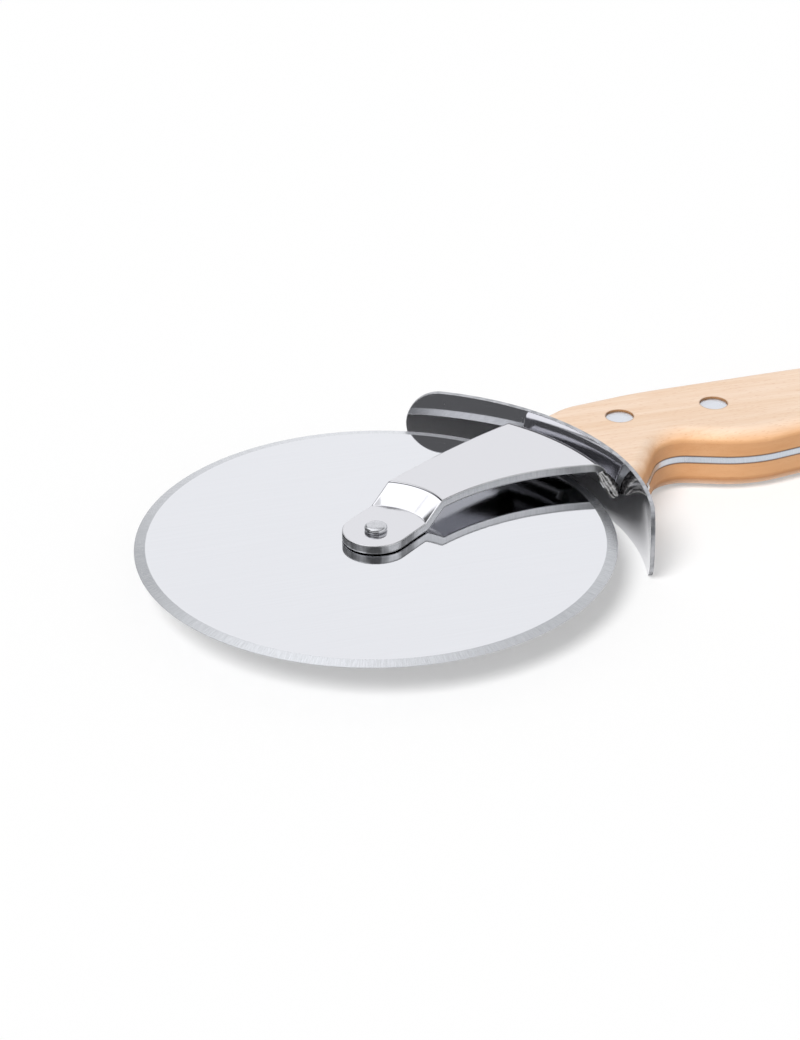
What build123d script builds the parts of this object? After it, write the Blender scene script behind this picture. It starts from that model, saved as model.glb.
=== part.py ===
from build123d import *
import os
from math import atan2, cos, degrees, radians, sin, tan

# A pizza cutter: a round blade that spins on a riveted axle between two stamped fork arms,
# a crescent finger guard that the fork is welded to, and a beech handle riveted to a full tang.
# Lengths are in millimetres and angles in degrees.
# While it is built, the axle is the Z axis and Z = 0 is the middle of the blade.
# +X runs along the handle, +Y is the spine side, and -Y is the finger side.
# At the end the whole cutter moves so that the origin is the bottom centre of its box.

# Blade
wheel_diameter = 100.0
wheel_thickness = 1.0
bevel_width = 2.3
cutting_edge_thickness = 0.12

# Axle: a solid rivet that the blade turns on, and a thin washer on each side of the blade
rivet_diameter = 3.5
rivet_head_diameter = 4.75
rivet_head_height = 1.3
rivet_head_chamfer = 0.3
washer_diameter = 8.0
washer_thickness = 0.2
running_clearance = 0.05
shank_clearance = 0.03

# Fork arms: two stampings that mirror each other, of which the lower one is narrower at the guard
sheet_thickness = 1.8
ear_radius = 7.0
ear_gap = 0.3
ear_straight = 5.8
ear_direction = 38.6
joggle_foot_radius = 10.6
joggle_run = 4.6
joggle_rise = 3.3
fold_radius = 1.6
skirt_reach = 4.15
skirt_lean = 25.0
skirt_outer_radius = 2.6
arm_near_angle = 9.7
lower_arm_near_angle = 18.0
arm_far_angle = 39.4

# Finger guard: a crescent of sheet round the blade's rim
guard_clearance = 6.8
guard_thickness = 0.9
guard_height = 16.0
guard_near_angle = -18.9
guard_near_rounding = 9.5
guard_far_angle = 66.9
guard_far_rounding = 8.0
guard_offset_x = -1.0
guard_offset_y = -2.3

# Handle
handle_length = 118.0
handle_width = 26.0
handle_offset = 26.4
tang_thickness = 1.5
scale_thickness = 6.25
scale_rounding = 3.0
# The outline's corners from the guard along the spine, round the butt and back along the finger side:
# each one's place along the handle as a share of its length from the guard, its place across it
# as a share of its width from the rivets' line, and its rounding as a share of the width
outline_shares = (
    (-0.112, 0.160, 0),
    (-0.033, 0.360, 0.54),
    (0.113, 0.454, 3.08),
    (0.435, 0.496, 7.69),
    (0.774, 0.462, 2.60),
    (0.925, 0.315, 0.80),
    (1.025, -0.208, 0.38),
    (0.943, -0.700, 0.46),
    (0.536, -0.415, 2.00),
    (0.265, -0.617, 1.00),
    (0.105, -0.344, 0.29),
    (-0.014, -1.207, 0),
)

# Handle rivets: a barrel from above, and a headed pin that is pressed into it from below
barrel_diameter = 6.1
pin_head_thickness = 1.2
pin_diameter = 2.4
pin_engagement = 7.0
handle_rivet_recess = 0.4
front_rivet_inset = 6.2
front_rivet_spacing = 22.0
rear_rivet_share = 0.74

# Weld beads
fork_weld_radius = 1.9
fork_weld_proud = 0.4
tang_weld_diameter = 3.0

# Cuts run this far past what they cut
overrun = 2.0

# Worked out from the sizes above
wheel_radius = wheel_diameter / 2
ear_bottom = wheel_thickness / 2 + ear_gap
ear_top = ear_bottom + sheet_thickness
arm_top = ear_top + joggle_rise
arm_bottom = arm_top - sheet_thickness
guard_inner_radius = wheel_radius + guard_clearance
guard_outer_radius = guard_inner_radius + guard_thickness
guard_axis = Axis((guard_offset_x, guard_offset_y, 0), (0, 0, 1))
handle_start = guard_offset_x + guard_outer_radius
handle_half_thickness = tang_thickness / 2 + scale_thickness
rivet_places = {
    "front": handle_start + front_rivet_inset,
    "middle": handle_start + front_rivet_inset + front_rivet_spacing,
    "rear": handle_start + rear_rivet_share * handle_length,
}


def polar(radius, angle):
    """A point at an angle round the axle."""
    return Vector(radius * cos(radians(angle)), radius * sin(radians(angle)), 0)


def guard_polar(radius, angle):
    """A point at an angle round the guard's own centre."""
    return Vector(guard_offset_x, guard_offset_y, 0) + polar(radius, angle)


def turned(points):
    """A solid of revolution round the axle from a closed outline of (radius, height) points."""
    outline = Polyline(*[(r, 0, z) for r, z in points], close=True)
    return revolve(make_face(outline), Axis.Z)


def rod(radius, bottom, top):
    """An upright cylinder on the axle from one height to another."""
    return Pos(0, 0, bottom) * Cylinder(radius, top - bottom, align=(Align.CENTER, Align.CENTER, Align.MIN))


def upright(face, bottom, top):
    """A flat outline drawn at Z = 0, extruded from one height to another."""
    return extrude(Pos(0, 0, bottom) * face, top - bottom, dir=(0, 0, 1))


def only_solid(shape):
    """The largest solid of a cut, without the container that holds it."""
    return shape.solids().sort_by(SortBy.VOLUME)[-1]


def guard_disc(radius):
    """An upright cylinder round the guard's centre, taller than anything it cuts."""
    reach = guard_height + overrun
    return Pos(guard_offset_x, guard_offset_y, 0) * Cylinder(radius, 2 * reach)


# Blade and axle

def wheel_blade():
    """A flat disc, ground to a bevel on both sides of its rim, with a bore for the axle."""
    half = wheel_thickness / 2
    edge = cutting_edge_thickness / 2
    shoulder = wheel_radius - bevel_width
    bore = rivet_diameter / 2 + running_clearance
    return turned([
        (bore, -half), (shoulder, -half), (wheel_radius, -edge),
        (wheel_radius, edge), (shoulder, half), (bore, half),
    ])


def axle_rivet():
    """A shank with a peened head on each ear."""
    shank = rivet_diameter / 2
    head = rivet_head_diameter / 2
    head_top = ear_top + rivet_head_height
    upper_half = [
        (shank, ear_top), (head, ear_top), (head, head_top - rivet_head_chamfer),
        (head - rivet_head_chamfer, head_top), (0, head_top),
    ]
    lower_half = [(r, -z) for r, z in reversed(upper_half)]
    return turned(upper_half + lower_half)


def washer():
    """A thin washer under the upper ear, round the rivet."""
    disc = rod(washer_diameter / 2, ear_bottom - washer_thickness, ear_bottom)
    return disc - rod(rivet_diameter / 2 + shank_clearance, 0, ear_top)


# Fork

def arm_outline(near_angle):
    """The arm seen from above: a round ear, a straight neck, and edges that widen in arcs to the guard."""
    heading = polar(1, ear_direction)
    near_side = polar(ear_radius, ear_direction - 90)
    far_side = polar(ear_radius, ear_direction + 90)
    neck = near_side + heading * ear_straight
    near_end = guard_polar(guard_inner_radius, near_angle)
    far_end = guard_polar(guard_inner_radius, arm_far_angle)
    beyond = guard_polar(guard_inner_radius + overrun, (near_angle + arm_far_angle) / 2)
    back = polar(ear_radius, ear_direction + 180)
    return make_face([
        ThreePointArc(far_side, back, near_side),
        Line(near_side, neck),
        TangentArc(neck, near_end, tangent=heading),
        ThreePointArc(near_end, beyond, far_end),
        TangentArc(far_side, far_end, tangent=heading),
    ])


def joggled_plate():
    """The ear, the conical step and the raised arm, all turned round the axle."""
    slope = atan2(joggle_rise, joggle_run)
    shift = sheet_thickness * tan(slope / 2)
    foot = joggle_foot_radius
    head = joggle_foot_radius + joggle_run
    reach = wheel_radius + guard_clearance + overrun
    outline = Polyline(
        (0, 0, ear_bottom), (foot + shift, 0, ear_bottom), (head + shift, 0, arm_bottom), (reach, 0, arm_bottom),
        (reach, 0, arm_top), (head, 0, arm_top), (foot, 0, ear_top), (0, 0, ear_top), close=True,
    )
    profile = make_face(outline)
    for corner in ((foot + shift, 0, ear_bottom), (head, 0, arm_top)):
        profile = fillet(profile.vertices().sort_by_distance(corner)[0], fold_radius)
    return revolve(profile, Axis.Z)


def skirt(start):
    """The arm's end, turned round the guard's centre: it bends down and leans out until it meets the guard."""
    bend = radians(90 - skirt_lean)
    lean = tan(radians(skirt_lean))
    corner = guard_inner_radius - skirt_reach + skirt_outer_radius * tan(bend / 2)
    inner_corner = corner - sheet_thickness * tan(bend / 2)
    tip = corner + arm_top * lean
    inner_tip = tip - sheet_thickness / cos(radians(skirt_lean))
    x = guard_offset_x
    y = guard_offset_y
    outline = Polyline(
        (x + start, y, arm_bottom), (x + inner_corner, y, arm_bottom), (x + inner_tip, y, 0),
        (x + tip, y, 0), (x + corner, y, arm_top), (x + start, y, arm_top), close=True,
    )
    profile = make_face(outline)
    profile = fillet(profile.vertices().sort_by_distance((x + corner, y, arm_top))[0], skirt_outer_radius)
    return revolve(profile, guard_axis) & guard_disc(guard_inner_radius)


def fork_arm(near_angle):
    """One stamping: a joggled plate and its end skirt, trimmed to the arm's outline."""
    start = guard_inner_radius - arm_top
    blank = upright(arm_outline(near_angle), -overrun, arm_top + overrun)
    plate = joggled_plate() & guard_disc(start)
    end = skirt(start)
    bore = rod(rivet_diameter / 2 + shank_clearance, 0, arm_top)
    return only_solid((plate + end) & blank - bore)


# Guard and handle

def finger_guard():
    """A strip of the guard's ring with rounded ends."""
    half = guard_height / 2
    centre = guard_polar(0, 0)
    strip = Pos(*centre) * (Cylinder(guard_outer_radius, guard_height) - Cylinder(guard_inner_radius, guard_height))
    near = guard_near_angle + degrees(guard_near_rounding / guard_outer_radius)
    far = guard_far_angle - degrees(guard_far_rounding / guard_outer_radius)
    reach = guard_outer_radius / cos(radians(far - near) / 2) + overrun
    wedge = make_face(Polyline(centre, guard_polar(reach, near), guard_polar(reach, far), close=True))
    kept = [upright(wedge, -half, half)]
    for angle, rounding in ((near, guard_near_rounding), (far, guard_far_rounding)):
        post = Cylinder(rounding, reach, align=(Align.CENTER, Align.CENTER, Align.MIN))
        kept.append(Pos(*centre) * Rot(0, 0, angle) * Rot(0, 90, 0) * post)
    return only_solid(strip & (kept[0] + kept[1:]))


def handle_blank(bottom, top):
    """A slab with the handle's outline seen from above, before it is cut to butt against the guard."""
    corners = [
        (handle_start + along * handle_length, handle_offset + across * handle_width, rounding * handle_width)
        for along, across, rounding in outline_shares
    ]
    face = make_face(Polyline(*[(x, y) for x, y, radius in corners], close=True))
    for x, y, radius in corners:
        if radius:
            face = fillet(face.vertices().sort_by_distance((x, y, 0))[0], radius)
    return upright(face, bottom, top)


def tang(holes):
    """A flat steel plate as long as the handle."""
    half = tang_thickness / 2
    plate = handle_blank(-half, half) - guard_disc(guard_outer_radius)
    return only_solid(plate - holes)


def upper_scale(holes):
    """A beech slab on the tang. Its upper edge is rounded, but not where it lies inside the guard."""
    slab = handle_blank(tang_thickness / 2, handle_half_thickness)
    rim = slab.faces().sort_by(Axis.Z)[-1].edges().sort_by_distance(guard_polar(0, 0))[1:]
    return only_solid(fillet(rim, scale_rounding) - guard_disc(guard_outer_radius) - holes)


def rivet_barrel(x):
    """The upper part of a handle rivet: a round bar with a blind hole from below."""
    top = handle_half_thickness - handle_rivet_recess
    seat = pin_head_thickness - top
    bar = rod(barrel_diameter / 2, seat, top)
    bore = rod(pin_diameter / 2 + shank_clearance, seat - overrun, seat + pin_engagement + shank_clearance)
    return Pos(x, handle_offset, 0) * (bar - bore)


def rivet_pin(x):
    """The lower part of a handle rivet: a head and the pin above it."""
    bottom = handle_rivet_recess - handle_half_thickness
    seat = bottom + pin_head_thickness
    head = rod(barrel_diameter / 2, bottom, seat)
    return Pos(x, handle_offset, 0) * (head + rod(pin_diameter / 2, seat, seat + pin_engagement))


def rivet_holes():
    """What is drilled through tang and scales for the rivets."""
    reach = handle_half_thickness + overrun
    drill = rod(barrel_diameter / 2 + shank_clearance, -reach, reach)
    return [Pos(x, handle_offset, 0) * drill for x in rivet_places.values()]


def fork_weld(arms, angle, side):
    """An upright bead at one end of the skirts' seam with the guard, just proud of their edge, +1 on the spine side."""
    inset = degrees((fork_weld_radius - fork_weld_proud) / guard_inner_radius)
    place = guard_polar(guard_inner_radius, angle - side * inset)
    bead = Pos(*place) * Cylinder(fork_weld_radius, 2 * fork_weld_radius)
    return only_solid((bead & guard_disc(guard_inner_radius)) - arms)


def tang_weld(plate, side):
    """A bead as thick as the tang in the corner between its edge and the guard, +1 on the spine side."""
    half = tang_thickness / 2
    corner = plate.vertices().filter_by(lambda v: v.X < handle_start).sort_by(lambda v: side * v.Y)[-1]
    bead = Pos(corner.X, corner.Y, 0) * rod(tang_weld_diameter / 2, -half, half)
    return only_solid(bead - guard_disc(guard_outer_radius) - plate)


def main():
    """Makes every piece, moves the cutter to its reference point and writes one file per piece."""
    holes = rivet_holes()
    scale = upper_scale(holes)
    parts = {
        "wheel_blade": wheel_blade(),
        "axle_rivet": axle_rivet(),
        "upper_washer": washer(),
        "lower_washer": mirror(washer(), Plane.XY),
        "upper_fork_arm": fork_arm(arm_near_angle),
        "lower_fork_arm": mirror(fork_arm(lower_arm_near_angle), Plane.XY),
        "finger_guard": finger_guard(),
        "tang": tang(holes),
        "upper_scale": scale,
        "lower_scale": mirror(scale, Plane.XY),
    }
    for name, x in rivet_places.items():
        parts[name + "_rivet_barrel"] = rivet_barrel(x)
        parts[name + "_rivet_pin"] = rivet_pin(x)
    arms = [parts["upper_fork_arm"], parts["lower_fork_arm"]]
    parts["near_fork_weld"] = fork_weld(arms, arm_near_angle, -1)
    parts["far_fork_weld"] = fork_weld(arms, arm_far_angle, 1)
    parts["near_tang_weld"] = tang_weld(parts["tang"], -1)
    parts["far_tang_weld"] = tang_weld(parts["tang"], 1)
    box = Compound(list(parts.values())).bounding_box()
    centre = box.center()
    os.makedirs("parts", exist_ok=True)
    for name, part in parts.items():
        placed = Pos(-centre.X, -centre.Y, -box.min.Z) * part
        export_step(placed, os.path.join("parts", name + ".step"))
    print("origin from the axle:", centre.X, centre.Y, box.min.Z)
    print("size:", box.size)


main()
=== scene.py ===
from math import atan2, cos, pi, radians, sin

import bmesh
import bpy
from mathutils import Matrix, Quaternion, Vector, noise


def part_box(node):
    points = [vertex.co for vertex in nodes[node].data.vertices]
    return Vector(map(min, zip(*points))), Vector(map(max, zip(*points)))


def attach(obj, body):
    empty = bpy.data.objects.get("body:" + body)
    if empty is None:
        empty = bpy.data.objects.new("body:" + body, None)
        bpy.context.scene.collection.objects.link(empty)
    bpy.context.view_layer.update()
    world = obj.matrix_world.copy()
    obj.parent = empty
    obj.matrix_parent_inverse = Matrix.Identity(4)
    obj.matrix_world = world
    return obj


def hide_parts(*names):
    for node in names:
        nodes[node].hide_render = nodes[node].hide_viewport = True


# A pizza cutter lying on white paper, lit like a small product on a light table.
# Points are in metres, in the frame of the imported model. Lengths on the pieces are in millimetres.

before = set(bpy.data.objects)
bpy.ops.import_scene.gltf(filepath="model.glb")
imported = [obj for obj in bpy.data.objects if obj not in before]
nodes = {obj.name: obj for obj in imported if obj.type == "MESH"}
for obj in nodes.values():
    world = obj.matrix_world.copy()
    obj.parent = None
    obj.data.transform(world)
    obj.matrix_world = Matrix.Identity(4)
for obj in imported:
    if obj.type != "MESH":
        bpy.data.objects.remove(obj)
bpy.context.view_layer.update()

MM = 0.001

# Without a seed, Blender's noise vectors follow the clock, and the beads would change from run to run
noise.seed_set(4)

# Camera: a long lens on the near side of the blade, which it looks down on at about thirty degrees
CAMERA_PLACE = Vector((-205.126, -513.507, 306.208)) * MM
CAMERA_TURN = Quaternion((0.852112, 0.503926, -0.069671, -0.12292))
CAMERA_LENS = 102.057
CAMERA_NEAREST = 0.01

# The blade lies round the axle, at half the height of the cutter
blade_low, blade_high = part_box("wheel_blade")
AXLE = (blade_low + blade_high) / 2
MID_HEIGHT = AXLE.z / MM
BLADE_RADIUS = (blade_high.x - blade_low.x) / 2 / MM
BEVEL_WIDTH = 2.3

# The fork's ears: their top above the blade's middle, and the circle that the sheet folds on above its step
EAR_TOP = 2.6
FOLD_RADIUS = 15.2

# The guard's crescent: its centre a little beside the axle, the way from there to its seam with the fork,
# and a distance that ends within the thickness of its sheet
GUARD_CENTRE = AXLE + Vector((-1.0, -2.3, 0)) * MM
TO_SEAM = (0.98, 0.17, 0)
INSIDE_GUARD = 57.5

# The tang's bright strip bends between these two places along the handle
tang_low, tang_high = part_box("tang")
TANG_HALF = (tang_high.z - tang_low.z) / 2 / MM
BEND_START = tang_low.x / MM + 7.5
BEND_END = tang_low.x / MM + 10


# Colours and nodes

# The Mix node's sockets: its share, the two values or the two colours that it mixes, and the colour it gives
SHARE = 0
VALUE_1 = 2
VALUE_2 = 3
COLOUR_1 = 6
COLOUR_2 = 7
COLOUR_OUT = 2

# Nearly all that a noise node gives lies between these two
NOISE_LOW = 0.3
NOISE_HIGH = 0.7

# What lays a vector flat when it is multiplied by this
FLAT = (1, 1, 0)


def linear(code):
    """The linear colour that an sRGB hex code stands for."""
    values = [int(code[i:i + 2], 16) / 255 for i in (1, 3, 5)]
    return tuple(v / 12.92 if v <= 0.04045 else ((v + 0.055) / 1.055) ** 2.4 for v in values) + (1.0,)


def add_node(tree, kind, inputs=None, **settings):
    """Adds a node, gives it its settings, and sets or links its inputs."""
    node = tree.nodes.new(kind)
    for name, value in settings.items():
        setattr(node, name, value)
    for socket, value in (inputs or {}).items():
        if isinstance(value, bpy.types.NodeSocket):
            tree.links.new(value, node.inputs[socket])
        else:
            node.inputs[socket].default_value = value
    return node


def new_material(name):
    """An empty node material and its tree."""
    material = bpy.data.materials.new(name)
    material.use_nodes = True
    material.node_tree.nodes.clear()
    return material, material.node_tree


def own_place(tree):
    """The piece's own coordinates in millimetres."""
    place = add_node(tree, "ShaderNodeTexCoord").outputs["Object"]
    return add_node(tree, "ShaderNodeVectorMath", {0: place, "Scale": 1 / MM}, operation="SCALE").outputs[0]


def level_arm(tree, place, centre):
    """The level line in millimetres that leads to each point from the upright through a centre."""
    arm = add_node(tree, "ShaderNodeVectorMath", {0: place, 1: centre / MM}, operation="SUBTRACT").outputs[0]
    return add_node(tree, "ShaderNodeVectorMath", {0: arm, 1: FLAT}, operation="MULTIPLY").outputs[0]


def off_middle(tree, place):
    """How far each point is above or below the middle of the cutter, in millimetres."""
    height = add_node(tree, "ShaderNodeSeparateXYZ", {0: place}).outputs["Z"]
    height = add_node(tree, "ShaderNodeMath", {0: height, 1: MID_HEIGHT}, operation="SUBTRACT").outputs[0]
    return add_node(tree, "ShaderNodeMath", {0: height}, operation="ABSOLUTE").outputs[0]


def streaks(tree, place, per_mm, detail, turn=(0, 0, 0), wander=0.0):
    """A noise pattern that is stretched. It repeats about so many times a millimetre along each axis."""
    stretched = add_node(tree, "ShaderNodeMapping", {
        "Vector": place, "Rotation": turn, "Scale": per_mm,
    }).outputs[0]
    return add_node(tree, "ShaderNodeTexNoise", {
        "Vector": stretched, "Scale": 1, "Detail": detail, "Distortion": wander,
    }).outputs["Fac"]


def relief(tree, pattern, strength, depth, rounding, samples):
    """The surface's normal with a pattern cut into it and its edges rounded. Depth and rounding are in
    millimetres."""
    cut = add_node(tree, "ShaderNodeBump", {
        "Height": pattern, "Strength": strength, "Distance": depth * MM,
    }).outputs[0]
    return add_node(tree, "ShaderNodeBevel", {
        "Radius": rounding * MM, "Normal": cut,
    }, samples=samples).outputs[0]


# Steel

def blade_steel():
    """Cold-rolled stainless steel, polished to a mirror, with faint rolling lines. The bevel is ground, with
    lines that run straight out to the edge, so it spreads what it reflects round the rim."""
    material, tree = new_material("polished stainless blade")
    place = own_place(tree)
    centred = add_node(tree, "ShaderNodeVectorMath", {
        0: place, 1: AXLE / MM,
    }, operation="SUBTRACT").outputs[0]
    arm = level_arm(tree, place, AXLE)
    radius = add_node(tree, "ShaderNodeVectorMath", {0: arm}, operation="LENGTH").outputs["Value"]
    shoulder = BLADE_RADIUS - BEVEL_WIDTH
    bevel = add_node(tree, "ShaderNodeMapRange", {
        "Value": radius, "From Min": shoulder - 0.05, "From Max": shoulder + 0.05,
    }).outputs[0]
    # Rolling lines: twenty millimetres long and a quarter of a millimetre apart
    rolled = streaks(tree, centred, (0.05, 4, 1), 3, (0, 0, radians(16)))
    flat_colour = add_node(tree, "ShaderNodeMix", {
        SHARE: rolled, COLOUR_1: linear("#D1D2D5"), COLOUR_2: linear("#D6D7DA"),
    }, data_type="RGBA").outputs[COLOUR_OUT]
    flat_rough = add_node(tree, "ShaderNodeMapRange", {
        "Value": rolled, "From Min": NOISE_LOW, "From Max": NOISE_HIGH, "To Min": 0.02, "To Max": 0.045,
    }).outputs[0]
    # Grinding lines: 260 in a radian, so a fifth of a millimetre apart at the rim, and long towards the edge
    parts = add_node(tree, "ShaderNodeSeparateXYZ", {0: centred}).outputs
    angle = add_node(tree, "ShaderNodeMath", {0: parts["Y"], 1: parts["X"]}, operation="ARCTAN2").outputs[0]
    round_rim = add_node(tree, "ShaderNodeCombineXYZ", {"X": angle, "Y": radius}).outputs[0]
    ground = streaks(tree, round_rim, (260, 0.4, 1), 4)
    ground = add_node(tree, "ShaderNodeMapRange", {
        "Value": ground, "From Min": NOISE_LOW, "From Max": NOISE_HIGH,
    }).outputs[0]
    bevel_colour = add_node(tree, "ShaderNodeMix", {
        SHARE: ground, COLOUR_1: linear("#BEC0C3"), COLOUR_2: linear("#D0D2D5"),
    }, data_type="RGBA").outputs[COLOUR_OUT]
    colour = add_node(tree, "ShaderNodeMix", {
        SHARE: bevel, COLOUR_1: flat_colour, COLOUR_2: bevel_colour,
    }, data_type="RGBA").outputs[COLOUR_OUT]
    rough = add_node(tree, "ShaderNodeMix", {
        SHARE: bevel, VALUE_1: flat_rough, VALUE_2: 0.27,
    }, data_type="FLOAT").outputs[0]
    round_axle = add_node(tree, "ShaderNodeTangent", direction_type="RADIAL", axis="Z").outputs[0]
    steel = add_node(tree, "ShaderNodeBsdfPrincipled", {
        "Base Color": colour, "Metallic": 1, "Roughness": rough, "Anisotropic": 0.7,
        "Tangent": round_axle, "Normal": relief(tree, rolled, 0.04, 0.02, 0.08, 4),
    })
    add_node(tree, "ShaderNodeOutputMaterial", {"Surface": steel.outputs[0]})
    return material


def fork_steel():
    """Stamped stainless sheet, tumbled and brushed: satin faces, and brighter sheared edges with marks across
     them. Painted shade makes a fine dark line in the crease where the sheet folds at the top of its step."""
    material, tree = new_material("satin stainless fork")
    place = own_place(tree)
    # Brushing: three millimetres long along the handle, and a fifth of a millimetre apart
    brushed = streaks(tree, place, (0.3, 5, 5), 4)
    face_rough = add_node(tree, "ShaderNodeMapRange", {
        "Value": brushed, "From Min": NOISE_LOW, "From Max": NOISE_HIGH, "To Min": 0.06, "To Max": 0.1,
    }).outputs[0]
    # Sheared edges stand upright, and their marks, a quarter of a millimetre apart, run up and down
    normal = add_node(tree, "ShaderNodeNewGeometry").outputs["True Normal"]
    tilt = add_node(tree, "ShaderNodeSeparateXYZ", {0: normal}).outputs["Z"]
    tilt = add_node(tree, "ShaderNodeMath", {0: tilt}, operation="ABSOLUTE").outputs[0]
    sheared = add_node(tree, "ShaderNodeMapRange", {
        "Value": tilt, "From Min": 0.15, "From Max": 0.05,
    }).outputs[0]
    marks = streaks(tree, place, (4, 4, 0.4), 5)
    # The shears roll the sheet over along the top of its edge, and painted shade darkens the edge there
    rolled_over = add_node(tree, "ShaderNodeBevel", {"Radius": 0.9 * MM}, samples=8).outputs[0]
    rise = add_node(tree, "ShaderNodeSeparateXYZ", {0: rolled_over}).outputs["Z"]
    painted_edge_shade = add_node(tree, "ShaderNodeMapRange", {
        "Value": rise, "From Min": -0.35, "From Max": 0.3, "To Min": 1, "To Max": 0.72,
    }).outputs[0]
    # Round the ears, within nine millimetres of the axle, the edge has painted dark patches three millimetres
    # wide, which stand in for the darker things it reflects
    arm = level_arm(tree, place, AXLE)
    radius = add_node(tree, "ShaderNodeVectorMath", {0: arm}, operation="LENGTH").outputs["Value"]
    on_ear = add_node(tree, "ShaderNodeMapRange", {
        "Value": radius, "From Min": 9, "From Max": 7.5,
    }).outputs[0]
    painted_dark_patches = streaks(tree, place, (0.32, 0.32, 0.1), 2)
    painted_dark_patches = add_node(tree, "ShaderNodeMapRange", {
        "Value": painted_dark_patches, "From Min": 0.42, "From Max": 0.58, "To Min": 0.4,
    }).outputs[0]
    painted_dark_patches = add_node(tree, "ShaderNodeMix", {
        SHARE: on_ear, VALUE_1: 1, VALUE_2: painted_dark_patches,
    }, data_type="FLOAT").outputs[0]
    painted_edge_shade = add_node(tree, "ShaderNodeMath", {0: painted_edge_shade, 1: painted_dark_patches}, operation="MULTIPLY").outputs[0]
    edge_colour = add_node(tree, "ShaderNodeMix", {
        SHARE: marks, COLOUR_1: linear("#C9CBCE"), COLOUR_2: linear("#FAFBFC"),
    }, data_type="RGBA").outputs[COLOUR_OUT]
    edge_colour = add_node(tree, "ShaderNodeVectorMath", {
        0: edge_colour, "Scale": painted_edge_shade,
    }, operation="SCALE").outputs[0]
    colour = add_node(tree, "ShaderNodeMix", {
        SHARE: sheared, COLOUR_1: linear("#CDCDD0"), COLOUR_2: edge_colour,
    }, data_type="RGBA").outputs[COLOUR_OUT]
    # The fold's line, a quarter of a millimetre wide, is painted shade in the crease and lies on a circle
    # round the axle
    fold_crease_shade = add_node(tree, "ShaderNodeMath", {
        0: radius, 1: FOLD_RADIUS, 2: 0.14,
    }, operation="COMPARE").outputs[0]
    fold_crease_shade = add_node(tree, "ShaderNodeMath", {0: fold_crease_shade, 1: tilt}, operation="MULTIPLY").outputs[0]
    colour = add_node(tree, "ShaderNodeMix", {
        SHARE: fold_crease_shade, COLOUR_1: colour, COLOUR_2: linear("#57585B"),
    }, data_type="RGBA").outputs[COLOUR_OUT]
    roughness = add_node(tree, "ShaderNodeMix", {
        SHARE: sheared, VALUE_1: face_rough, VALUE_2: 0.38,
    }, data_type="FLOAT").outputs[0]
    pattern = add_node(tree, "ShaderNodeMix", {
        SHARE: sheared, VALUE_1: brushed, VALUE_2: marks,
    }, data_type="FLOAT").outputs[0]
    steel = add_node(tree, "ShaderNodeBsdfPrincipled", {
        "Base Color": colour, "Metallic": 1, "Roughness": roughness,
        "Normal": relief(tree, pattern, 0.12, 0.03, 0.5, 8),
    })
    add_node(tree, "ShaderNodeOutputMaterial", {"Surface": steel.outputs[0]})
    return material


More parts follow.
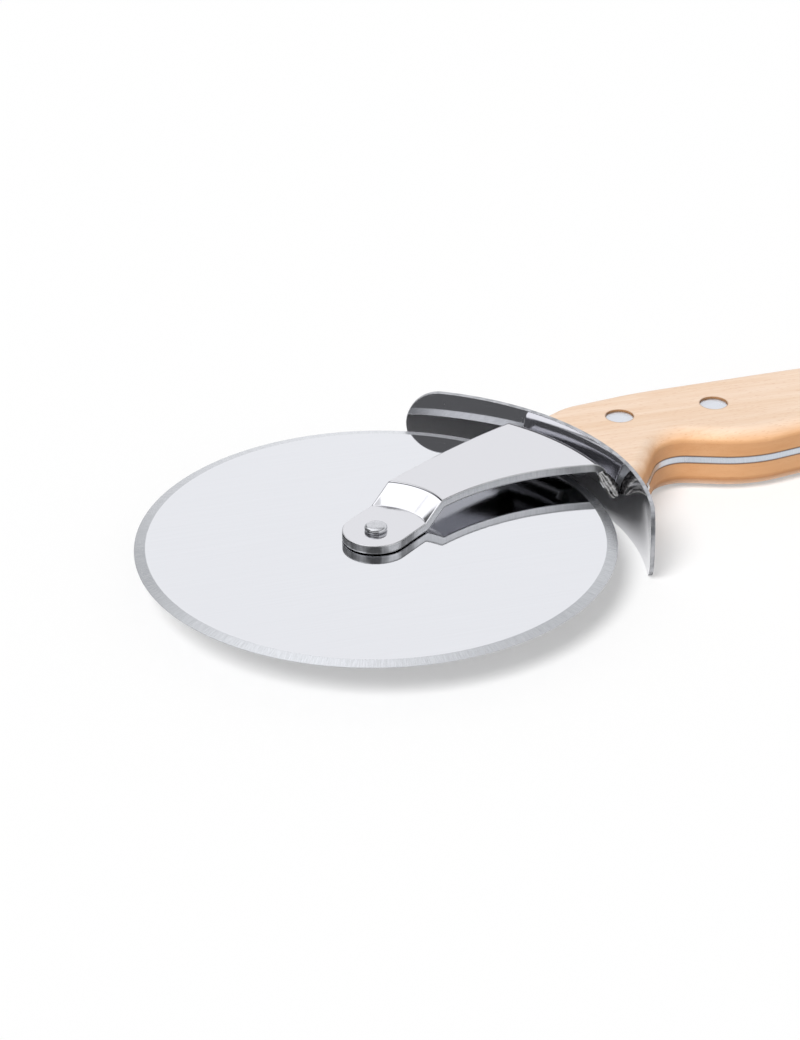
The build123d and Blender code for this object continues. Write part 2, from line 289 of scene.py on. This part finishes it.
def guard_steel():
    """Buffed stainless sheet: a mirror with hair-fine wiping scratches and a few specks and nicks. Its edges
    are deburred, so they are duller and patchy."""
    material, tree = new_material("buffed stainless guard")
    place = own_place(tree)
    # Scratches: two millimetres long and a seventh of a millimetre apart
    hairs = streaks(tree, place, (0.5, 7, 7), 4, (0.5, 0.3, 0.8))
    face_rough = add_node(tree, "ShaderNodeMapRange", {
        "Value": hairs, "From Min": 0.35, "From Max": 0.75, "To Min": 0.03, "To Max": 0.09,
    }).outputs[0]
    # Specks a tenth of a millimetre wide, and finer nicks that are up to half a millimetre long
    specks = add_node(tree, "ShaderNodeTexVoronoi", {"Vector": place, "Scale": 0.8}).outputs["Distance"]
    specks = add_node(tree, "ShaderNodeMapRange", {
        "Value": specks, "From Min": 0.07, "From Max": 0.04,
    }).outputs[0]
    nicks = add_node(tree, "ShaderNodeMapping", {
        "Vector": place, "Rotation": (0.4, 0.9, 0.2), "Scale": (0.45, 4, 4),
    }).outputs[0]
    nicks = add_node(tree, "ShaderNodeTexVoronoi", {"Vector": nicks, "Scale": 1}).outputs["Distance"]
    nicks = add_node(tree, "ShaderNodeMapRange", {
        "Value": nicks, "From Min": 0.11, "From Max": 0.05,
    }).outputs[0]
    worn = add_node(tree, "ShaderNodeMath", {0: specks, 1: nicks}, operation="MAXIMUM").outputs[0]
    worn = add_node(tree, "ShaderNodeMath", {0: worn, 1: 0.35}, operation="MULTIPLY").outputs[0]
    face_rough = add_node(tree, "ShaderNodeMath", {0: face_rough, 1: worn}, operation="ADD").outputs[0]
    # The two faces look along the line from the guard's centre, and its edges do not
    arm = level_arm(tree, place, GUARD_CENTRE)
    arm = add_node(tree, "ShaderNodeVectorMath", {0: arm}, operation="NORMALIZE").outputs[0]
    normal = add_node(tree, "ShaderNodeNewGeometry").outputs["True Normal"]
    facing = add_node(tree, "ShaderNodeVectorMath", {
        0: arm, 1: normal,
    }, operation="DOT_PRODUCT").outputs["Value"]
    facing = add_node(tree, "ShaderNodeMath", {0: facing}, operation="ABSOLUTE").outputs[0]
    edge = add_node(tree, "ShaderNodeMapRange", {
        "Value": facing, "From Min": 0.7, "From Max": 0.5,
    }).outputs[0]
    # Deburring leaves patches two millimetres wide
    patches = add_node(tree, "ShaderNodeTexNoise", {
        "Vector": place, "Scale": 0.5, "Detail": 3,
    }).outputs["Fac"]
    patches = add_node(tree, "ShaderNodeMapRange", {
        "Value": patches, "From Min": 0.4, "From Max": 0.6,
    }).outputs[0]
    deburred = add_node(tree, "ShaderNodeMix", {
        SHARE: patches, COLOUR_1: linear("#94969A"), COLOUR_2: linear("#B6B7BB"),
    }, data_type="RGBA").outputs[COLOUR_OUT]
    colour = add_node(tree, "ShaderNodeMix", {
        SHARE: edge, COLOUR_1: linear("#DCDCDF"), COLOUR_2: deburred,
    }, data_type="RGBA").outputs[COLOUR_OUT]
    roughness = add_node(tree, "ShaderNodeMix", {
        SHARE: edge, VALUE_1: face_rough, VALUE_2: 0.3,
    }, data_type="FLOAT").outputs[0]
    steel = add_node(tree, "ShaderNodeBsdfPrincipled", {
        "Base Color": colour, "Metallic": 1, "Roughness": roughness,
        "Normal": relief(tree, hairs, 0.04, 0.02, 0.25, 6),
    })
    add_node(tree, "ShaderNodeOutputMaterial", {"Surface": steel.outputs[0]})
    return material


def tang_steel():
    """Stainless plate, ground flush with the wood: a bright strip with short lines across it, darkened with
    painted shade along its
     borders, in the seams with the wood, and where it bends beside the guard."""
    material, tree = new_material("ground stainless tang")
    place = own_place(tree)
    # Grinding lines across the strip, a quarter of a millimetre apart
    ground = streaks(tree, place, (4, 4, 0.3), 4)
    bright = add_node(tree, "ShaderNodeMix", {
        SHARE: ground, COLOUR_1: linear("#BCC4CE"), COLOUR_2: linear("#D8E0EA"),
    }, data_type="RGBA").outputs[COLOUR_OUT]
    # Painted shade along the strip's borders, in its seams with the wood, and where it bends beside the guard
    border = add_node(tree, "ShaderNodeMapRange", {
        "Value": off_middle(tree, place), "From Min": TANG_HALF - 0.25, "From Max": TANG_HALF - 0.05,
        "To Max": 0.7,
    }).outputs[0]
    along = add_node(tree, "ShaderNodeSeparateXYZ", {0: place}).outputs["X"]
    bend_shade = add_node(tree, "ShaderNodeMapRange", {
        "Value": along, "From Min": BEND_END, "From Max": BEND_START, "To Max": 0.85,
    }).outputs[0]
    painted_shade_share = add_node(tree, "ShaderNodeMath", {0: border, 1: bend_shade}, operation="MAXIMUM").outputs[0]
    colour = add_node(tree, "ShaderNodeMix", {
        SHARE: painted_shade_share, COLOUR_1: bright, COLOUR_2: linear("#72767C"),
    }, data_type="RGBA").outputs[COLOUR_OUT]
    roughness = add_node(tree, "ShaderNodeMapRange", {
        "Value": ground, "From Min": NOISE_LOW, "From Max": NOISE_HIGH, "To Min": 0.25, "To Max": 0.4,
    }).outputs[0]
    steel = add_node(tree, "ShaderNodeBsdfPrincipled", {
        "Base Color": colour, "Metallic": 1, "Roughness": roughness,
        "Normal": relief(tree, ground, 0.1, 0.03, 0.15, 4),
    })
    add_node(tree, "ShaderNodeOutputMaterial", {"Surface": steel.outputs[0]})
    return material


def rough_metal(name, low, high, rough, spot, depth, soot_and_shade=0):
    """Metal with small dents or ripples, whose width and depth are in millimetres: peened, welded or turned.
    Soot from the welding and painted shade darken the side of a bead that looks at the guard, inside it."""
    material, tree = new_material(name)
    place = own_place(tree)
    spots = add_node(tree, "ShaderNodeTexNoise", {
        "Vector": place, "Scale": 1 / spot, "Detail": 3,
    }).outputs["Fac"]
    colour = add_node(tree, "ShaderNodeMix", {
        SHARE: spots, COLOUR_1: linear(low), COLOUR_2: linear(high),
    }, data_type="RGBA").outputs[COLOUR_OUT]
    roughness = add_node(tree, "ShaderNodeMapRange", {
        "Value": spots, "From Min": NOISE_LOW, "From Max": NOISE_HIGH, "To Min": rough * 0.75,
        "To Max": rough * 1.3,
    }).outputs[0]
    # Soot and painted corner shade on the side of a bead that looks at the guard, inside it
    if soot_and_shade:
        normal = add_node(tree, "ShaderNodeNewGeometry").outputs["Normal"]
        facing = add_node(tree, "ShaderNodeVectorMath", {
            0: normal, 1: TO_SEAM,
        }, operation="DOT_PRODUCT").outputs["Value"]
        soot_and_shade_share = add_node(tree, "ShaderNodeMapRange", {
            "Value": facing, "From Min": -0.15, "From Max": 0.12, "To Max": soot_and_shade,
        }).outputs[0]
        away = add_node(tree, "ShaderNodeVectorMath", {
            0: place, 1: GUARD_CENTRE / MM,
        }, operation="DISTANCE").outputs["Value"]
        inside = add_node(tree, "ShaderNodeMath", {
            0: away, 1: INSIDE_GUARD,
        }, operation="LESS_THAN").outputs[0]
        soot_and_shade_share = add_node(tree, "ShaderNodeMath", {0: soot_and_shade_share, 1: inside}, operation="MULTIPLY").outputs[0]
        colour = add_node(tree, "ShaderNodeMix", {
            SHARE: soot_and_shade_share, COLOUR_1: colour, COLOUR_2: linear("#2E2C2B"),
        }, data_type="RGBA").outputs[COLOUR_OUT]
    metal = add_node(tree, "ShaderNodeBsdfPrincipled", {
        "Base Color": colour, "Metallic": 1, "Roughness": roughness,
        "Normal": relief(tree, spots, 0.5, depth, 0.25, 6),
    })
    add_node(tree, "ShaderNodeOutputMaterial", {"Surface": metal.outputs[0]})
    return material


# Wood

def beech_wood():
    """Steamed beech, sanded and oiled: pale on top and deeper on the sides, as painted light and shade, with
    soft bands
     along the handle and short brown ray flecks."""
    material, tree = new_material("oiled beech")
    place = own_place(tree)
    # Growth bands three millimetres wide, fibres a third of a millimetre wide and eight long
    bands = streaks(tree, place, (0.02, 0.35, 0.35), 5, wander=0.4)
    pale = add_node(tree, "ShaderNodeMapRange", {
        "Value": bands, "From Min": 0.32, "From Max": 0.68,
    }).outputs[0]
    fibres = streaks(tree, place, (0.12, 3.2, 3.2), 4)
    fibre_share = add_node(tree, "ShaderNodeMapRange", {
        "Value": fibres, "From Min": 0.45, "From Max": 0.75, "To Max": 0.25,
    }).outputs[0]
    # Ray flecks: about a millimetre long and a fifth of a millimetre wide
    flecks = add_node(tree, "ShaderNodeMapping", {"Vector": place, "Scale": (0.42, 2.6, 2.6)}).outputs[0]
    flecks = add_node(tree, "ShaderNodeTexVoronoi", {"Vector": flecks, "Scale": 1}).outputs["Distance"]
    flecks = add_node(tree, "ShaderNodeMapRange", {
        "Value": flecks, "From Min": 0.26, "From Max": 0.12, "To Max": 0.32,
    }).outputs[0]
    # Painted light and shade: the faces that look sideways are deeper in colour than the flat ones, and
    # deepest where they look down
    normal = add_node(tree, "ShaderNodeNewGeometry").outputs["Normal"]
    rise = add_node(tree, "ShaderNodeSeparateXYZ", {0: normal}).outputs["Z"]
    painted_underside_shade = add_node(tree, "ShaderNodeMapRange", {
        "Value": rise, "From Min": 0.35, "From Max": -0.25,
    }).outputs[0]
    tilt = add_node(tree, "ShaderNodeMath", {0: rise}, operation="ABSOLUTE").outputs[0]
    side = add_node(tree, "ShaderNodeMapRange", {
        "Value": tilt, "From Min": 0.95, "From Max": 0.2,
    }).outputs[0]
    top = add_node(tree, "ShaderNodeMix", {
        SHARE: pale, COLOUR_1: linear("#EACBAE"), COLOUR_2: linear("#F5DDC8"),
    }, data_type="RGBA").outputs[COLOUR_OUT]
    shaded_flank = add_node(tree, "ShaderNodeMix", {
        SHARE: pale, COLOUR_1: linear("#E8B07C"), COLOUR_2: linear("#F8C696"),
    }, data_type="RGBA").outputs[COLOUR_OUT]
    shaded_flank = add_node(tree, "ShaderNodeMix", {
        SHARE: painted_underside_shade, COLOUR_1: shaded_flank, COLOUR_2: linear("#B27A47"),
    }, data_type="RGBA").outputs[COLOUR_OUT]
    colour = add_node(tree, "ShaderNodeMix", {
        SHARE: side, COLOUR_1: top, COLOUR_2: shaded_flank,
    }, data_type="RGBA").outputs[COLOUR_OUT]
    colour = add_node(tree, "ShaderNodeMix", {
        SHARE: fibre_share, COLOUR_1: colour, COLOUR_2: linear("#D9A77C"),
    }, data_type="RGBA").outputs[COLOUR_OUT]
    colour = add_node(tree, "ShaderNodeMix", {
        SHARE: flecks, COLOUR_1: colour, COLOUR_2: linear("#C4844E"),
    }, data_type="RGBA").outputs[COLOUR_OUT]
    # Oil gathers in the seam with the tang and round the rivets, and painted shade darkens the gap at the
    # seam, wider at the bend, and the rims of the rivets' holes
    along = add_node(tree, "ShaderNodeSeparateXYZ", {0: place}).outputs["X"]
    reach = add_node(tree, "ShaderNodeMapRange", {
        "Value": along, "From Min": BEND_END, "From Max": BEND_START,
        "To Min": TANG_HALF + 0.35, "To Max": TANG_HALF + 0.7,
    }).outputs[0]
    stain_and_shade = add_node(tree, "ShaderNodeMapRange", {
        "Value": off_middle(tree, place), "From Min": reach, "From Max": TANG_HALF + 0.1, "To Max": 0.9,
    }).outputs[0]
    for name in ("front", "middle", "rear"):
        low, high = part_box(name + "_rivet_barrel")
        arm = level_arm(tree, place, (low + high) / 2)
        away = add_node(tree, "ShaderNodeVectorMath", {0: arm}, operation="LENGTH").outputs["Value"]
        hole = (high.x - low.x) / 2 / MM
        ring = add_node(tree, "ShaderNodeMapRange", {
            "Value": away, "From Min": hole + 0.3, "From Max": hole + 0.1, "To Max": 0.35,
        }).outputs[0]
        stain_and_shade = add_node(tree, "ShaderNodeMath", {0: stain_and_shade, 1: ring}, operation="MAXIMUM").outputs[0]
    colour = add_node(tree, "ShaderNodeMix", {
        SHARE: stain_and_shade, COLOUR_1: colour, COLOUR_2: linear("#6A4C36"),
    }, data_type="RGBA").outputs[COLOUR_OUT]
    grain = add_node(tree, "ShaderNodeMath", {0: fibres, 1: flecks}, operation="SUBTRACT").outputs[0]
    roughness = add_node(tree, "ShaderNodeMapRange", {
        "Value": fibres, "From Min": NOISE_LOW, "From Max": NOISE_HIGH, "To Min": 0.42, "To Max": 0.55,
    }).outputs[0]
    wood = add_node(tree, "ShaderNodeBsdfPrincipled", {
        "Base Color": colour, "Roughness": roughness, "IOR": 1.5,
        "Normal": relief(tree, grain, 0.15, 0.08, 0.3, 4),
    })
    add_node(tree, "ShaderNodeOutputMaterial", {"Surface": wood.outputs[0]})
    return material


# Finishes

def dress(material, *names):
    """Gives CAD nodes a material."""
    for name in names:
        for slot in nodes[name].material_slots:
            slot.material = material


dress(blade_steel(), "wheel_blade")
fork_finish = fork_steel()
dress(fork_finish, "upper_fork_arm", "lower_fork_arm")
dress(guard_steel(), "finger_guard")
dress(tang_steel(), "tang")
dress(beech_wood(), "upper_scale", "lower_scale")

# Hammered heads: shallow round dents that break up what they reflect
rivet_finish = rough_metal("peened rivet steel", "#B2B3B6", "#CFD0D3", rough=0.22, spot=1.2, depth=0.06)
dress(rivet_finish, "axle_rivet")

# Stamped washers: dull grey rims
washer_finish = rough_metal("stamped washer steel", "#8E9093", "#C9CBCE", rough=0.3, spot=0.8, depth=0.02)
dress(washer_finish, "upper_washer", "lower_washer")

# Arc-welded beads, brushed clean: ripples that shine, with soot and painted shade in the corner
weld_finish = rough_metal("weld bead steel", "#AAA9A7", "#DCDCDB", rough=0.22, spot=1.4, depth=0.04, soot_and_shade=0.9)
dress(weld_finish, "near_fork_weld", "far_fork_weld", "near_tang_weld", "far_tang_weld")

# Aluminium rivets, turned and sanded flush: flat, pale and matt
handle_rivets = [name for name in nodes if name.endswith(("_rivet_barrel", "_rivet_pin"))]
aluminium = rough_metal("turned rivet aluminium", "#D2D5DB", "#DEE1E6", rough=0.35, spot=1.5, depth=0.02)
dress(aluminium, *handle_rivets)


# Pieces that stand for CAD nodes with the shapes that a stamping and a weld really have

# Points closer together than this are one point, in metres
SAME_PLACE = 0.0005 * MM

# The lower arm's near side meets the guard at this angle round the guard's centre
LOWER_ARM_ANGLE = radians(27)
SHARP_ANGLE = radians(35)

# The torch came from the near side and from above. A path has (x, y, z, radius) in millimetres from the axle.
TORCH_SIDE = Vector((-0.24, -0.84, 0.48)).normalized()
FORK_WELD_PATH = [
    (50.9, 5.5, 5.5, 1.0), (52.3, 5.2, 3.4, 1.45), (53.6, 4.8, 1.2, 1.6), (54.6, 4.7, -0.4, 1.3),
]
TANG_WELD_PATH = [
    (61.2, 6.3, 1.2, 0.5), (61.6, 5.4, 0.4, 0.8), (61.4, 4.6, -0.8, 0.6),
]
BEAD_ROWS = 48
BEAD_STEPS = 32

# A bead is flatter than it is wide, its ends are blunt, and it has ripples across it. The heights of a bead
# and of its ripples are shares of its radius, and the pace of the ripples is in radians from one point of its
# path to the next.
BEAD_FLATNESS = 0.62
END_BLUNTNESS = 0.45
RIPPLE_HEIGHT = 0.04
RIPPLE_PACE = 11

# The furrow along a bead: its depth and how much that changes along the way, then its middle and half its
# width across the bead, all as shares of the radius, and how steep its walls are
FURROW_DEPTH = 0.34
FURROW_CHANGE = 0.15
CHANGES_PER_MM = 0.9
FURROW_MIDDLE = 0.15
FURROW_HALF = 0.6
FURROW_STEEPNESS = 1.5

# Lumps all over a bead, in millimetres
LUMP_HEIGHT = 0.16
LUMPS_PER_MM = 0.7

# The axle rivet, in millimetres: its shank, what the hammer took off each head, and the dents that it left
SHANK_RADIUS = 1.75
HEAD_LOSS = 0.15
DENT_DEPTH = 0.05
DENTS_PER_MM = 1.1
HEAD_STEPS = 64


def own_copy(name):
    """A copy of a node's mesh to work on, with its split corners joined again."""
    mesh = bmesh.new()
    mesh.from_mesh(nodes[name].data)
    bmesh.ops.remove_doubles(mesh, verts=mesh.verts, dist=SAME_PLACE)
    return mesh


def stand_in(mesh, name, node, material):
    """Turns a bmesh into a smooth object that rides on the frame in the place of a node."""
    for face in mesh.faces:
        face.smooth = True
    data = bpy.data.meshes.new(name)
    mesh.to_mesh(data)
    mesh.free()
    data.materials.append(material)
    piece = bpy.data.objects.new(name, data)
    bpy.context.scene.collection.objects.link(piece)
    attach(piece, "frame")
    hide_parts(node)


def narrow_arm():
    """The lower arm, trimmed on its near side along a line from the guard's centre."""
    mesh = own_copy("lower_fork_arm")
    cut = bmesh.ops.bisect_plane(
        mesh, geom=mesh.verts[:] + mesh.edges[:] + mesh.faces[:], dist=SAME_PLACE, plane_co=GUARD_CENTRE,
        plane_no=(sin(LOWER_ARM_ANGLE), -cos(LOWER_ARM_ANGLE), 0), clear_outer=True,
    )
    rim = [edge for edge in cut["geom_cut"] if isinstance(edge, bmesh.types.BMEdge)]
    bmesh.ops.holes_fill(mesh, edges=rim)
    for edge in mesh.edges:
        edge.smooth = edge.calc_face_angle(0) < SHARP_ANGLE
    stand_in(mesh, "lower_arm_stamping", "lower_fork_arm", fork_finish)


def skin(mesh, rings, steps):
    """Joins rings of corners with faces. A ring of one corner is a point in which the surface ends."""
    for lower, upper in zip(rings, rings[1:]):
        for step in range(steps):
            following = (step + 1) % steps
            corners = [lower[step % len(lower)], lower[following % len(lower)]]
            corners += [upper[following % len(upper)], upper[step % len(upper)]]
            mesh.faces.new(list(dict.fromkeys(corners)))
    bmesh.ops.recalc_face_normals(mesh, faces=mesh.faces)


def bead_corner(centre, radius, turn, side, lift):
    """A point of a bead's surface, at a turn round its centre line. The furrow is on the torch's side."""
    height = BEAD_FLATNESS * sin(turn)
    if height > 0:
        furrow = FURROW_DEPTH + FURROW_CHANGE * noise.noise(centre * CHANGES_PER_MM)
        height -= furrow * max(0, 1 - abs(cos(turn) - FURROW_MIDDLE) / FURROW_HALF) ** FURROW_STEEPNESS
    spot = centre + (side * cos(turn) + lift * height) * radius
    return spot + noise.noise_vector(spot * LUMPS_PER_MM) * LUMP_HEIGHT


def weld_bead(name, path):
    """A lumpy weld bead along a path, which stands for a node."""
    mesh = bmesh.new()
    points = [Vector(row[:3]) for row in path]
    radii = [row[3] for row in path]
    heading = (points[-1] - points[0]).normalized()
    side = heading.cross(TORCH_SIDE).normalized()
    lift = side.cross(heading)
    rings = []
    for row in range(BEAD_ROWS + 1):
        share = row / BEAD_ROWS
        along = (0.5 - cos(share * pi) / 2) * (len(path) - 1)
        first = min(int(along), len(path) - 2)
        part = along - first
        centre = points[first].lerp(points[first + 1], part)
        radius = radii[first] + (radii[first + 1] - radii[first]) * part
        radius *= sin(share * pi) ** END_BLUNTNESS
        radius *= 1 + RIPPLE_HEIGHT * sin(along * RIPPLE_PACE)
        ring = []
        for step in range(BEAD_STEPS if 0 < row < BEAD_ROWS else 1):
            spot = bead_corner(centre, radius, step * 2 * pi / BEAD_STEPS, side, lift)
            ring.append(mesh.verts.new(spot * MM + AXLE))
        rings.append(ring)
    skin(mesh, rings, BEAD_STEPS)
    stand_in(mesh, name + "_bead", name, weld_finish)


def peened_rivet():
    """The axle rivet with hammered heads: a rounded rim, and a top that the peening left a little uneven."""
    low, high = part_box("axle_rivet")
    head = (high.x - low.x) / 2 / MM
    top = (high.z - low.z) / 2 / MM - HEAD_LOSS
    # Radius and height, from the shank over the head's rim to near the middle of its top
    upper_half = [
        (SHANK_RADIUS, EAR_TOP), (head - 0.12, EAR_TOP), (head, EAR_TOP + 0.3),
        (head, top - 0.5), (head - 0.08, top - 0.25), (head - 0.28, top - 0.08),
        (head - 0.6, top - 0.01), (head - 1.1, top + 0.02), (0.6, top + 0.03),
    ]
    lower_half = [(radius, -height) for radius, height in reversed(upper_half)]
    mesh = bmesh.new()
    rings = [[mesh.verts.new(Vector((0, 0, -top)) * MM + AXLE)]]
    for radius, height in lower_half + upper_half:
        ring = []
        for step in range(HEAD_STEPS):
            turn = step * 2 * pi / HEAD_STEPS
            spot = Vector((radius * cos(turn), radius * sin(turn), height))
            if radius != SHANK_RADIUS:
                spot += noise.noise_vector(spot * DENTS_PER_MM) * DENT_DEPTH
            ring.append(mesh.verts.new(spot * MM + AXLE))
        rings.append(ring)
    rings.append([mesh.verts.new(Vector((0, 0, top)) * MM + AXLE)])
    skin(mesh, rings, HEAD_STEPS)
    stand_in(mesh, "peened_axle_rivet", "axle_rivet", rivet_finish)


narrow_arm()
weld_bead("near_fork_weld", FORK_WELD_PATH)
weld_bead("near_tang_weld", TANG_WELD_PATH)
peened_rivet()


# Stage

TABLE_GLOW = 0.378
FLOOR_SIZE = 8.0


def table_paper():
    """White paper on a light table: matt. Where the camera looks at it, part of its white is the table's
    glow, so the shadows on it are soft and pale."""
    material, tree = new_material("white paper")
    lit = add_node(tree, "ShaderNodeBsdfDiffuse", {"Color": linear("#F9F9F9")})
    shown = add_node(tree, "ShaderNodeBsdfDiffuse", {"Color": linear("#CBCBCB")})
    glow = add_node(tree, "ShaderNodeEmission", {"Color": linear("#FFFFFF"), "Strength": TABLE_GLOW})
    shown = add_node(tree, "ShaderNodeAddShader", {0: shown.outputs[0], 1: glow.outputs[0]})
    by_camera = add_node(tree, "ShaderNodeLightPath").outputs["Is Camera Ray"]
    paper = add_node(tree, "ShaderNodeMixShader", {0: by_camera, 1: lit.outputs[0], 2: shown.outputs[0]})
    add_node(tree, "ShaderNodeOutputMaterial", {"Surface": paper.outputs[0]})
    return material


# The cutter stands on the guard's lower edge and the butt of the handle, which is a millimetre higher
guard_low, guard_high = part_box("finger_guard")
scale_low, scale_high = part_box("lower_scale")
FLOOR_TILT = atan2(scale_low.z, scale_high.x - guard_high.x)
bpy.ops.mesh.primitive_plane_add(size=FLOOR_SIZE)
floor = bpy.context.object
floor.name = "floor"
floor.rotation_euler = (0, -FLOOR_TILT, 0)
floor.location = (guard_high.x * (1 - cos(FLOOR_TILT)), 0, -guard_high.x * sin(FLOOR_TILT))
floor.data.materials.append(table_paper())


# Light

# White panels that only what is polished sees. Each has its azimuth and half its width, its lowest and
# highest elevation and the softness of its borders, all in degrees, and its brightness.
PANELS = {
    "horizon": (-20, 150, -60, 15, 6, 0.85),
    "back sweep": (5, 87, -60, 39, 5, 1.2),
    "back overhead": (92, 20, 43, 80, 3, 1.75),
    "back right": (55, 16, 43, 80, 4, 0.85),
    "back left": (123, 15, 31, 80, 3, 1.8),
    "ramp low": (141, 6, 44.5, 80, 3, 1.8),
    "ramp": (154, 13, 50, 83, 2, 1.8),
    "ramp high": (-178, 42, 57, 83, 3, 1.8),
    "top": (0, 180, 57, 90, 3, 1.05),
    "left": (-157, 24, 37, 80, 4, 1.4),
}

# The dim room between the panels, which is a little blue, and the even daylight on all that is matt
ROOM_LEVEL = 0.17
ROOM_TINT = (1, 1.003, 1.022)
DAY_LEVEL = 0.33

# Key light: soft and even, from the left and a little in front. What is polished sees the panels instead.
KEY_AZIMUTH = radians(223)
KEY_ELEVATION = radians(51)
KEY_SOFTNESS = radians(28)
KEY_STRENGTH = 2.85


def panel_light(tree, side, height, name):
    """The light that a ray meets in a panel. A panel is bounded in azimuth and in height, and one that goes
    all the way round or up to the zenith has no border there."""
    azimuth, half, low, high, soft, level = PANELS[name]
    middle = Vector((cos(radians(azimuth)), sin(radians(azimuth)), 0))
    facing = add_node(tree, "ShaderNodeVectorMath", {
        0: side, 1: middle,
    }, operation="DOT_PRODUCT").outputs["Value"]
    borders = [(height, sin(radians(low - soft)), sin(radians(low + soft)))]
    if half < 180:
        borders.append((facing, cos(radians(half + soft)), cos(radians(half - soft))))
    if high < 90:
        borders.append((height, sin(radians(high + soft)), sin(radians(high - soft))))
    light = level
    for value, none, full in borders:
        border = add_node(tree, "ShaderNodeMapRange", {
            "Value": value, "From Min": none, "From Max": full,
        }, interpolation_type="SMOOTHSTEP").outputs[0]
        light = add_node(tree, "ShaderNodeMath", {0: light, 1: border}, operation="MULTIPLY").outputs[0]
    return light


def light_tent():
    """Even, soft daylight for what is matt. What is polished sees the white panels round the table and the
    dim room between them, and the camera sees plain white."""
    world = bpy.data.worlds.new("light tent")
    bpy.context.scene.world = world
    world.use_nodes = True
    tree = world.node_tree
    tree.nodes.clear()
    ray = add_node(tree, "ShaderNodeTexCoord").outputs["Generated"]
    height = add_node(tree, "ShaderNodeSeparateXYZ", {0: ray}).outputs["Z"]
    side = add_node(tree, "ShaderNodeVectorMath", {0: ray, 1: FLAT}, operation="MULTIPLY").outputs[0]
    side = add_node(tree, "ShaderNodeVectorMath", {0: side}, operation="NORMALIZE").outputs[0]
    bright = ROOM_LEVEL
    for name in PANELS:
        light = panel_light(tree, side, height, name)
        bright = add_node(tree, "ShaderNodeMath", {0: bright, 1: light}, operation="MAXIMUM").outputs[0]
    tent = add_node(tree, "ShaderNodeVectorMath", {
        0: ROOM_TINT, "Scale": bright,
    }, operation="SCALE").outputs[0]
    path = add_node(tree, "ShaderNodeLightPath").outputs
    seen = add_node(tree, "ShaderNodeMix", {
        SHARE: path["Is Glossy Ray"], COLOUR_1: (DAY_LEVEL, DAY_LEVEL, DAY_LEVEL, 1), COLOUR_2: tent,
    }, data_type="RGBA").outputs[COLOUR_OUT]
    lighting = add_node(tree, "ShaderNodeBackground", {"Color": seen})
    white = add_node(tree, "ShaderNodeBackground", {"Color": linear("#FFFFFF")})
    sky = add_node(tree, "ShaderNodeMixShader", {
        0: path["Is Camera Ray"], 1: lighting.outputs[0], 2: white.outputs[0],
    })
    add_node(tree, "ShaderNodeOutputWorld", {"Surface": sky.outputs[0]})


def put_in_scene(data, place, turn):
    """An object for a lamp or a camera, at its place and with its turn."""
    thing = bpy.data.objects.new(data.name, data)
    bpy.context.scene.collection.objects.link(thing)
    thing.location = place
    thing.rotation_mode = "QUATERNION"
    thing.rotation_quaternion = turn
    return thing


light_tent()

key_level = cos(KEY_ELEVATION)
key_direction = Vector((cos(KEY_AZIMUTH) * key_level, sin(KEY_AZIMUTH) * key_level, sin(KEY_ELEVATION)))
key = bpy.data.lights.new("softbox", "SUN")
key.angle = KEY_SOFTNESS
key.energy = KEY_STRENGTH
softbox = put_in_scene(key, AXLE + key_direction, key_direction.to_track_quat("Z", "Y"))
softbox.visible_glossy = False

camera = bpy.data.cameras.new("camera")
camera.lens = CAMERA_LENS
camera.clip_start = CAMERA_NEAREST
bpy.context.scene.camera = put_in_scene(camera, CAMERA_PLACE, CAMERA_TURN)
bpy.context.scene.view_settings.view_transform = "Standard"
